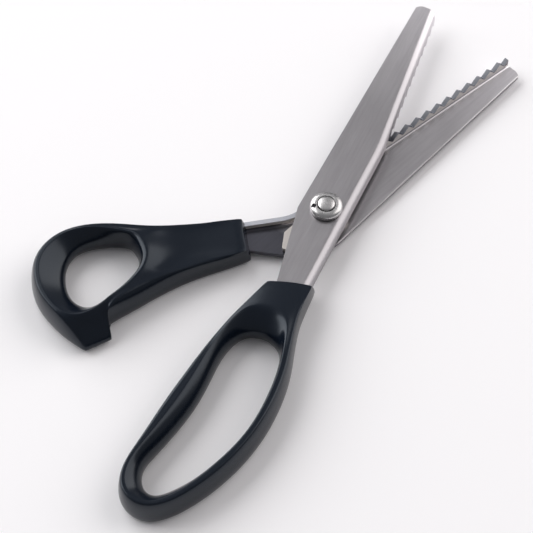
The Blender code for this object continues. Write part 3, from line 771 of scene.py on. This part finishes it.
# The thumb handle is given with the blades closed.
THUMB_STATIONS = [
    (-21.8, 17.8, -59.3, 38.1, 1.9, 0.5, 3.5, 0.0), (-26.3, 12.3, -60.3, 35.0, 1.8, 0.5, 3.5, 0.0),
    (-30.1, 6.8, -62.1, 32.3, 1.6, 0.5, 3.5, 0.0), (-38.2, 10.2, -64.2, 30.6, 1.4, 1.6, 2.9, 0.0),
    (-46.5, 13.9, -66.3, 29.5, 1.2, 2.2, 2.3, 0.0), (-55.0, 16.9, -68.7, 28.8, 1.1, 3.0, 1.5, 0.0),
    (-64.5, 19.2, -71.4, 28.4, 1.0, 3.8, 0.8, 0.0), (-73.5, 20.7, -74.3, 28.2, 1.0, 3.0, 0.2, 0.0),
    (-80.6, 22.2, -77.6, 28.3, 1.2, 2.6, 0.0, 0.0), (-86.2, 23.2, -80.6, 28.6, 1.6, 1.8, 0.6, 0.0),
    (-88.8, 18.2, -83.4, 29.1, 2.2, 8.8, 0.0, 0.0), (-98.9, 21.5, -87.0, 30.6, 4.2, 8.2, 0.0, 0.0),
    (-100.4, 29.4, -89.2, 34.0, 7.6, 2.4, 0.0, 0.0), (-100.5, 37.5, -89.6, 38.4, 8.2, 2.0, 0.0, 0.0),
    (-99.2, 45.7, -88.0, 43.0, 8.6, 2.0, 0.0, 0.0), (-95.5, 53.2, -85.5, 46.7, 9.0, 2.0, 0.0, 0.0),
    (-89.3, 59.2, -82.4, 49.7, 9.0, 2.0, 0.0, 0.0), (-81.3, 61.6, -78.5, 51.8, 7.4, 2.0, 0.0, 0.0),
    (-73.4, 60.7, -74.2, 52.5, 5.8, 2.0, 0.0, 0.0), (-66.2, 57.2, -69.8, 51.3, 4.6, 2.0, 0.1, 0.0),
    (-60.0, 51.9, -66.0, 49.0, 3.2, 1.5, 0.5, 0.0), (-54.3, 45.8, -63.2, 46.8, 2.4, 1.6, 1.1, 0.0),
    (-48.4, 39.2, -61.0, 44.7, 2.1, 1.7, 1.8, 0.0), (-41.0, 32.6, -59.5, 42.6, 2.0, 1.8, 2.4, 0.0),
    (-32.0, 25.6, -59.0, 40.4, 2.0, 1.6, 3.0, 0.0),
]
FERRULE = (0, 1, 2)
NOTCH, NOSE = (9,), (10, 11)
CREASE = 0.85                        # how crisp the ferrule's and the nose's corners stay
HOLD_ROUNDS = 4                      # rounds of moving an outline so that its smooth curve fits
FULL_FUNNEL = 0.004                  # funnel width from which the hem at the hole is whole
LEAST_RIM = 0.0012                   # least width between shoulder and funnel
WALL_INSET = 0.0009                  # the side wall's lean in towards its top
SHOULDER_HIGH, SHOULDER_LOW = 0.0022, 0.0014  # limits of the round between wall and top
RAMP_LENGTH = 0.0135                 # a top wider than this gets a ramp up to the rim
RAMP_FOOT, RAMP_HEAD, RAMP_TOP = 0.0112, 0.0038, 0.0020  # its points, as distances before the funnel


def held_outline(points, sharp):
    """Moves a closed run of points outward, so that its subdivided curve passes through them."""
    held = [point.copy() for point in points]
    for _ in range(HOLD_ROUNDS):
        moved = []
        for index, point in enumerate(points):
            if index in sharp:
                moved.append(point.copy())
                continue
            pull = (held[index - 1] + held[(index + 1) % len(points)] - 2 * held[index]) / 6
            moved.append(point - pull)
        held = moved
    return held


def handle_ring(handle, row, edge, rim, lean, nose):
    """Thirteen points round one station of a handle."""
    across = rim - edge
    reach = across.length
    inward = across.normalized()
    funnel, shoulder, drop = (value * MM for value in row[4:7])
    roll = row[7]
    crest = handle.rim_top
    reach += handle.hole_hem * min(1.0, funnel / FULL_FUNNEL)
    funnel = min(funnel, reach - shoulder - LEAST_RIM)
    inner = reach - funnel
    outside = crest - drop
    under = min(handle.foot, (reach - handle.foot) * 0.4)

    def at(distance, z, leaning=0.0):
        point = edge + inward * distance - lean * leaning * z / outside
        return (point.x, point.y, z)

    ring = [at(handle.foot, 0.0), at(-handle.outer_hem, handle.bottom_round, 1.0)]
    if nose:
        low = handle.nose_height
        climb = crest - low
        ring += [
            at(WALL_INSET, low, 1.0),
            at(shoulder * 0.38, low + climb * 0.20, 1.0),
            at(shoulder * 0.74, low + climb * 0.52),
            at(shoulder * 0.92, low + climb * 0.76),
            at((shoulder + inner) / 2, crest - 0.0002),
        ]
    else:
        wall_top = outside - max(SHOULDER_LOW, min(SHOULDER_HIGH, shoulder))
        ring += [at(min(WALL_INSET, shoulder * 0.45), wall_top, 1.0), at(shoulder, outside, 1.0)]
        spare = inner - shoulder
        if spare > RAMP_LENGTH:
            ring += [
                at(inner - RAMP_FOOT, outside + min(drop * 0.06, 0.0002)),
                at(inner - RAMP_HEAD, crest - min(drop * 0.25, 0.0007)),
                at(inner - RAMP_TOP, crest),
            ]
        else:
            ring += [
                at(shoulder + spare * 0.30, outside + drop * 0.10),
                at(shoulder + spare * 0.55, outside + drop * 0.40),
                at(shoulder + spare * 0.76, crest - drop * 0.15),
            ]
    ring += [
        at(inner, crest),
        at(reach - funnel * (0.52 + 0.03 * roll), crest - handle.funnel_depth * (0.42 - 0.17 * roll)),
        at(reach, crest - handle.funnel_depth),
        at(reach, handle.lower_rim),
        at(reach - under, 0.0),
        at((handle.foot + reach - under) / 2, 0.0),
    ]
    return ring


def handle_body(name, handle, stations, lean, noses, crisp):
    """Moulded handle: a loop of rings, subdivided, with crisp edges at the ferrule and nose."""
    outer = held_outline([Vector(row[:2]) * MM for row in stations], crisp)
    hole = held_outline([Vector(row[2:4]) * MM for row in stations], ())
    rings = []
    for index, row in enumerate(stations):
        here = lean if index in FERRULE else Vector((0, 0))
        rings.append(handle_ring(handle, row, outer[index], hole[index], here, index in noses))
    item = loft(name, rings + rings[:1], capped=False)
    crease_edges(item, rings, crisp)
    apply_modifier(item, "SUBSURF", levels=3, render_levels=3)
    return item


def crease_edges(item, rings, crisp):
    """Creases the corners of the ferrule end and of the nose."""
    wanted = set()
    for index in crisp:
        for step in range(3):
            wanted.add(frozenset((key(rings[index][step]), key(rings[index][step + 1]))))
    for index in (FERRULE[0] - 1,) + FERRULE:
        wanted.add(frozenset((key(rings[index][3]), key(rings[index + 1][3]))))
    select_edges(item, lambda ends: frozenset(key(point) for point in ends) in wanted)
    bpy.ops.transform.edge_crease(value=CREASE)
    bpy.ops.object.mode_set(mode="OBJECT")


def key(point):
    """A point rounded to the micrometre, to find it again in a mesh."""
    return tuple(round(value * 1e6) for value in point)


def pocket_tool(blade, pivot, side, gap):
    """The room that a tang needs in its handle."""
    rings = blade_rings(blade, pivot, side, grow=gap, tang_only=True)
    turn = tang_of(blade, side)[0]
    tail = Vector((-math.cos(turn), side * math.sin(turn), 0)) * gap
    rings[0] = [tuple(Vector(point) + tail) for point in rings[0]]
    return loft("pocket_tool", rings)


class SHEARS_OT_handles(bpy.types.Operator):
    """Model the finger handle and the thumb handle"""

    bl_idname = "shears.handles"
    bl_label = "Handles"

    def execute(self, context):
        blade, pivot = context.scene.shears_blade, context.scene.shears_pivot
        handle = context.scene.shears_handle
        finish = plastic_finish()
        forward = Vector((math.cos(blade.rear_tang_angle), -math.sin(blade.rear_tang_angle)))
        plans = (
            ("finger_loop", FINGER_STATIONS, Vector((1.0, 0.1)) * handle.finger_lean, (), (0, 2), FRONT,
             FRONT_BODY, "finger_handle", 0.0),
            ("thumb_loop", THUMB_STATIONS, forward * handle.thumb_lean, NOSE, (0, 2) + NOTCH + NOSE, REAR,
             REAR_BODY, "thumb_handle", pivot.opening),
        )
        for name, stations, lean, noses, crisp, side, body, node, opening in plans:
            item = handle_body(name, handle, stations, lean, noses, crisp)
            cut(item, pocket_tool(blade, pivot, side, handle.pocket_gap))
            smooth(item, HANDLE_SMOOTH)
            item.data.materials.append(finish)
            place_piece(item, body, "black_plastic", [node], opening)
        return {"FINISHED"}


# Finishes

def new_finish(name, metallic=0.0):
    """A material with an empty surface: its nodes, a link function and its shader."""
    material = bpy.data.materials.new(name)
    material.use_nodes = True
    nodes = material.node_tree.nodes
    shader = nodes["Principled BSDF"]
    shader.inputs["Metallic"].default_value = metallic
    return material, nodes, material.node_tree.links.new, shader


def add_math(nodes, link, operation, first, second, third=None):
    node = nodes.new("ShaderNodeMath")
    node.operation = operation
    for index, value in enumerate((first, second, third)):
        if value is None:
            continue
        if isinstance(value, bpy.types.NodeSocket):
            link(value, node.inputs[index])
        else:
            node.inputs[index].default_value = value
    return node.outputs[0]


def add_noise(nodes, link, vector, scale, detail):
    noise = nodes.new("ShaderNodeTexNoise")
    noise.inputs["Scale"].default_value = scale
    noise.inputs["Detail"].default_value = detail
    link(vector, noise.inputs["Vector"])
    return noise.outputs["Fac"]


def add_ramp(nodes, link, value, start, end, low=0.0, high=1.0, kind="LINEAR"):
    ramp = nodes.new("ShaderNodeMapRange")
    ramp.interpolation_type = kind
    for label, number in (("From Min", start), ("From Max", end), ("To Min", low), ("To Max", high)):
        ramp.inputs[label].default_value = number
    link(value, ramp.inputs["Value"])
    return ramp.outputs["Result"]


def grain_group():
    """Node group: fine scratches drawn out along X, as a shade, a roughness and a height."""
    name = "Drawn grain"
    if name in bpy.data.node_groups:
        return bpy.data.node_groups[name]
    group = bpy.data.node_groups.new(name, "ShaderNodeTree")
    sockets = group.interface.new_socket
    sockets("Vector", in_out="INPUT", socket_type="NodeSocketVector")
    for label, default in (("Roughness", 0.35), ("Spread", 0.08), ("Shade depth", 0.1)):
        sockets(label, in_out="INPUT", socket_type="NodeSocketFloat").default_value = default
    for label in ("Shade", "Roughness", "Height"):
        sockets(label, in_out="OUTPUT", socket_type="NodeSocketFloat")
    nodes, link = group.nodes, group.links.new
    given = nodes.new("NodeGroupInput")
    result = nodes.new("NodeGroupOutput")

    def streaks(scale, detail):
        mapping = nodes.new("ShaderNodeMapping")
        mapping.inputs["Scale"].default_value = scale
        link(given.outputs["Vector"], mapping.inputs["Vector"])
        return add_noise(nodes, link, mapping.outputs["Vector"], 1.0, detail)

    fine = streaks((260, 3600, 3600), 3.0)
    coarse = streaks((45, 1100, 1100), 2.0)
    cloud = streaks((30, 60, 60), 2.0)
    mixed = add_math(nodes, link, "MULTIPLY_ADD", fine, 0.45, add_math(nodes, link, "MULTIPLY", coarse, 0.55))
    centred = add_math(nodes, link, "SUBTRACT", mixed, 0.5)
    clouded = add_math(nodes, link, "MULTIPLY_ADD", add_math(nodes, link, "SUBTRACT", cloud, 0.5), 0.25, centred)
    shade = add_math(nodes, link, "MULTIPLY_ADD", clouded, given.outputs["Shade depth"], 1.0)
    rough = add_math(nodes, link, "MULTIPLY_ADD", clouded, given.outputs["Spread"], given.outputs["Roughness"])
    link(shade, result.inputs["Shade"])
    link(rough, result.inputs["Roughness"])
    link(mixed, result.inputs["Height"])
    return group


def add_grain(nodes, link, turn, roughness, spread, shade_depth):
    """Places the grain group with its coordinates turned to run along a piece."""
    place = nodes.new("ShaderNodeTexCoord")
    mapping = nodes.new("ShaderNodeMapping")
    mapping.inputs["Rotation"].default_value = (0.0, 0.0, turn)
    grain = nodes.new("ShaderNodeGroup")
    grain.node_tree = grain_group()
    grain.inputs["Roughness"].default_value = roughness
    grain.inputs["Spread"].default_value = spread
    grain.inputs["Shade depth"].default_value = shade_depth
    link(place.outputs["Object"], mapping.inputs["Vector"])
    link(mapping.outputs["Vector"], grain.inputs["Vector"])
    return grain, mapping.outputs["Vector"]


def shaded_colour(nodes, link, base, shade):
    """A colour multiplied by a shade value."""
    mix = nodes.new("ShaderNodeMix")
    mix.data_type = "RGBA"
    mix.blend_type = "MULTIPLY"
    mix.inputs["Factor"].default_value = 1.0
    if isinstance(base, bpy.types.NodeSocket):
        link(base, mix.inputs[6])
    else:
        mix.inputs[6].default_value = (*base, 1.0)
    link(shade, mix.inputs[7])
    return mix.outputs[2]


def add_bump(nodes, link, height, distance, shader, strength):
    bump = nodes.new("ShaderNodeBump")
    bump.inputs["Distance"].default_value = distance
    bump.inputs["Strength"].default_value = strength
    link(height, bump.inputs["Height"])
    link(bump.outputs["Normal"], shader.inputs["Normal"])


ACROSS = math.pi / 2                 # grain that runs across the blade
# Stretch of the blade, from the pivot axis, over which the ground steel is painted brighter towards the point: a
# painted reflection.
POINT_SHEEN_FROM, POINT_SHEEN_TO = 0.035, 0.098
TANG_FROM, TANG_TO = -0.016, -0.006  # where the darker steel of the rear tang gives way


def metal_finish(name, base, turn, roughness, spread, shade_depth, metallic=1.0, bump=None):
    """Metal with the drawn grain; a bump is a distance and a strength."""
    material, nodes, link, shader = new_finish(name, metallic)
    grain, _ = add_grain(nodes, link, turn, roughness, spread, shade_depth)
    link(shaded_colour(nodes, link, tuple(base), grain.outputs["Shade"]), shader.inputs["Base Color"])
    link(grain.outputs["Roughness"], shader.inputs["Roughness"])
    if bump:
        add_bump(nodes, link, grain.outputs["Height"], bump[0], shader, bump[1])
    return material


def steel_finish(name, turn, tang):
    """Ground blade steel with its grain along the blade, painted brighter towards the point as a painted
    reflection; a rear tang is darker.
    """
    finishes = bpy.context.scene.shears_finish
    material, nodes, link, shader = new_finish(name, 1.0)
    grain, along = add_grain(nodes, link, turn, finishes.blade_roughness, 0.15, 0.32)
    base = tuple(finishes.blade)
    split = nodes.new("ShaderNodeSeparateXYZ")
    link(along, split.inputs[0])
    # Painted reflection: brightens the steel towards the point.
    point_sheen = add_ramp(nodes, link, split.outputs["X"], POINT_SHEEN_FROM, POINT_SHEEN_TO)
    gain = add_math(nodes, link, "MULTIPLY", point_sheen, point_sheen)
    gain = add_math(nodes, link, "MULTIPLY_ADD", gain, finishes.painted_point_sheen, 1.0)
    shade = add_math(nodes, link, "MULTIPLY", grain.outputs["Shade"], gain)
    if tang:
        mix = nodes.new("ShaderNodeMix")
        mix.data_type = "RGBA"
        link(add_ramp(nodes, link, split.outputs["X"], TANG_FROM, TANG_TO), mix.inputs["Factor"])
        mix.inputs[6].default_value = (*finishes.tang, 1.0)
        mix.inputs[7].default_value = (*base, 1.0)
        base = mix.outputs[2]
    link(shaded_colour(nodes, link, base, shade), shader.inputs["Base Color"])
    link(grain.outputs["Roughness"], shader.inputs["Roughness"])
    add_bump(nodes, link, grain.outputs["Height"], 0.00001, shader, 0.6)
    return material


def cut_edge_painted_shade_finish():
    """Dull steel of the sheared edges, its dark tone partly painted shade, and painted shade on the walls and floor
    of the nut's square hole.
    """
    return metal_finish("painted_shade_cut_steel", bpy.context.scene.shears_finish.cut, ACROSS, 0.45, 0.2, 0.5)


def bright_finish():
    """Polished steel with faint turning marks."""
    finishes = bpy.context.scene.shears_finish
    material, nodes, link, shader = new_finish("bright_steel", 1.0)
    place = nodes.new("ShaderNodeTexCoord")
    split = nodes.new("ShaderNodeSeparateXYZ")
    link(place.outputs["Object"], split.inputs[0])
    flat = nodes.new("ShaderNodeCombineXYZ")
    link(split.outputs["X"], flat.inputs["X"])
    link(split.outputs["Y"], flat.inputs["Y"])
    size = nodes.new("ShaderNodeVectorMath")
    size.operation = "LENGTH"
    link(flat.outputs[0], size.inputs[0])
    rings = nodes.new("ShaderNodeTexNoise")
    rings.noise_dimensions = "1D"
    rings.inputs["Scale"].default_value = 4200.0
    rings.inputs["Detail"].default_value = 2.0
    link(size.outputs["Value"], rings.inputs["W"])
    smears = add_noise(nodes, link, place.outputs["Object"], 420.0, 3.0)
    link(add_math(nodes, link, "MULTIPLY_ADD", smears, 0.16, 0.19), shader.inputs["Roughness"])
    shade = add_math(nodes, link, "MULTIPLY_ADD", rings.outputs["Fac"], 0.14, 0.93)
    link(shaded_colour(nodes, link, tuple(finishes.bright), shade), shader.inputs["Base Color"])
    add_bump(nodes, link, rings.outputs["Fac"], 0.000006, shader, 0.5)
    return material


def plastic_finish():
    """Blue-black moulded plastic: satin gloss with a faint ripple and rubbed, duller patches."""
    finishes = bpy.context.scene.shears_finish
    material, nodes, link, shader = new_finish("handle_plastic")
    place = nodes.new("ShaderNodeTexCoord").outputs["Object"]
    patches = add_noise(nodes, link, place, 45.0, 4.0)
    ripple = add_noise(nodes, link, place, 260.0, 2.0)
    pores = add_noise(nodes, link, place, 5200.0, 2.0)
    shader.inputs["Specular Tint"].default_value = (0.82, 0.90, 1.0, 1.0)
    shader.inputs["Specular IOR Level"].default_value = 0.42
    spread = add_math(nodes, link, "MULTIPLY_ADD", patches, 0.10, finishes.plastic_roughness - 0.05)
    rough = add_math(nodes, link, "MULTIPLY_ADD", pores, 0.05, spread)
    link(rough, shader.inputs["Roughness"])
    shade = add_math(nodes, link, "MULTIPLY_ADD", patches, 0.5, 0.75)
    link(shaded_colour(nodes, link, tuple(finishes.plastic), shade), shader.inputs["Base Color"])
    height = add_math(nodes, link, "MULTIPLY_ADD", ripple, 0.8, add_math(nodes, link, "MULTIPLY", pores, 0.04))
    add_bump(nodes, link, height, 0.00004, shader, 0.35)
    return material


# Stage: directions are (right, away, up) as the camera sees them

KEY_BOX = (-0.68, 0.50, 0.54), 2.6, (3.2, 3.0)  # direction, distance and size of the softboxes
SIDE_BOX = (0.77, 0.37, 0.52), 2.2, (2.3, 2.8)
SIDE_TINT = (1.0, 0.97, 0.95)
ROOM_COLOUR = (0.97, 0.97, 1.0, 1.0)
VIEWER_SIDE = (0.0, -0.93, 0.37)     # where the room is less bright
VIEWER_FROM, VIEWER_TO = 0.15, 0.75  # how far off that direction the change takes place
TABLE_SIZE, TABLE_HEIGHT = 6.0, -0.00005


def add_softbox(name, place, size, radiance, tint):
    """Rectangular area light that faces the shears."""
    deselect()
    bpy.ops.object.light_add(type="AREA", location=place)
    item = bpy.context.object
    item.name = name
    item.data.shape = "RECTANGLE"
    item.data.size, item.data.size_y = size
    item.data.energy = radiance * math.pi * size[0] * size[1]
    item.data.color = tint
    item.rotation_euler = (-Vector(place)).to_track_quat("-Z", "Y").to_euler()


class SHEARS_OT_stage(bpy.types.Operator):
    """Set up the table, the softboxes, the room light and the camera"""

    bl_idname = "shears.stage"
    bl_label = "Stage"

    def execute(self, context):
        stage = context.scene.shears_stage
        self.make_floor(stage)
        self.make_lights(context, stage)
        self.make_camera(context, stage)
        return {"FINISHED"}

    def make_floor(self, stage):
        deselect()
        bpy.ops.mesh.primitive_plane_add(size=TABLE_SIZE, location=(0, 0, TABLE_HEIGHT))
        floor = bpy.context.object
        floor.name = "table"
        material, _, _, shader = new_finish("table_paper")
        shader.inputs["Roughness"].default_value = 0.75
        shader.inputs["Base Color"].default_value = (*stage.floor, 1.0)
        floor.data.materials.append(material)

    def make_lights(self, context, stage):
        right = Vector((math.cos(stage.azimuth), math.sin(stage.azimuth), 0))
        away = Vector((-math.sin(stage.azimuth), math.cos(stage.azimuth), 0))
        up = Vector((0, 0, 1))

        def direction(to_right, to_away, to_up):
            return (right * to_right + away * to_away + up * to_up).normalized()

        for name, (towards, distance, size), radiance, tint in (
            ("key_softbox", KEY_BOX, stage.key, (1.0, 1.0, 1.0)),
            ("side_softbox", SIDE_BOX, stage.side, SIDE_TINT),
        ):
            add_softbox(name, direction(*towards) * distance, size, radiance, tint)
        world = bpy.data.worlds.new("room")
        context.scene.world = world
        world.use_nodes = True
        nodes, link = world.node_tree.nodes, world.node_tree.links.new
        background = nodes["Background"]
        background.inputs["Color"].default_value = ROOM_COLOUR
        place = nodes.new("ShaderNodeTexCoord")
        facing = nodes.new("ShaderNodeVectorMath")
        facing.operation = "DOT_PRODUCT"
        facing.inputs[1].default_value = direction(*VIEWER_SIDE)
        link(place.outputs["Generated"], facing.inputs[0])
        strength = add_ramp(nodes, link, facing.outputs["Value"], VIEWER_FROM, VIEWER_TO,
                            stage.room, stage.room_shade, "SMOOTHSTEP")
        link(strength, background.inputs["Strength"])

    def make_camera(self, context, stage):
        deselect()
        back = Vector((
            math.sin(stage.azimuth) * math.cos(stage.elevation),
            -math.cos(stage.azimuth) * math.cos(stage.elevation),
            math.sin(stage.elevation),
        ))
        bpy.ops.object.camera_add(location=Vector(stage.target) + back * stage.distance)
        camera = bpy.context.object
        camera.rotation_euler = (-back).to_track_quat("-Z", "Y").to_euler()
        camera.data.lens = stage.lens
        camera.data.sensor_width = 36.0
        camera.data.clip_start = 0.01
        context.scene.camera = camera
        context.scene.view_settings.view_transform = "Standard"


class SHEARS_PT_panel(bpy.types.Panel):
    """Lists the steps that build the shears"""

    bl_idname = "SHEARS_PT_panel"
    bl_label = "Pinking shears"
    bl_space_type = "VIEW_3D"
    bl_region_type = "UI"
    bl_category = "Shears"

    def draw(self, context):
        for operator in OPERATORS:
            self.layout.operator(operator.bl_idname)
        for group_name in GROUPS:
            box = self.layout.box()
            group = getattr(context.scene, group_name)
            for setting in group.__annotations__:
                box.prop(group, setting)


OPERATORS = (SHEARS_OT_blades, SHEARS_OT_bearings, SHEARS_OT_pivot, SHEARS_OT_handles, SHEARS_OT_stage)
GROUPS = {
    "shears_blade": ShearsBladeSizes,
    "shears_pivot": ShearsPivotSizes,
    "shears_handle": ShearsHandleSizes,
    "shears_finish": ShearsFinishes,
    "shears_stage": ShearsStage,
}


def register():
    for group_name, group in GROUPS.items():
        bpy.utils.register_class(group)
        setattr(bpy.types.Scene, group_name, PointerProperty(type=group))
    for item in OPERATORS + (SHEARS_PT_panel,):
        bpy.utils.register_class(item)


def unregister():
    for item in reversed(OPERATORS + (SHEARS_PT_panel,)):
        bpy.utils.unregister_class(item)
    for group_name, group in GROUPS.items():
        delattr(bpy.types.Scene, group_name)
        bpy.utils.unregister_class(group)


def main():
    register()
    bpy.ops.shears.blades()
    bpy.ops.shears.bearings()
    bpy.ops.shears.pivot()
    bpy.ops.shears.handles()
    bpy.ops.shears.stage()


if __name__ == "__main__":
    main()
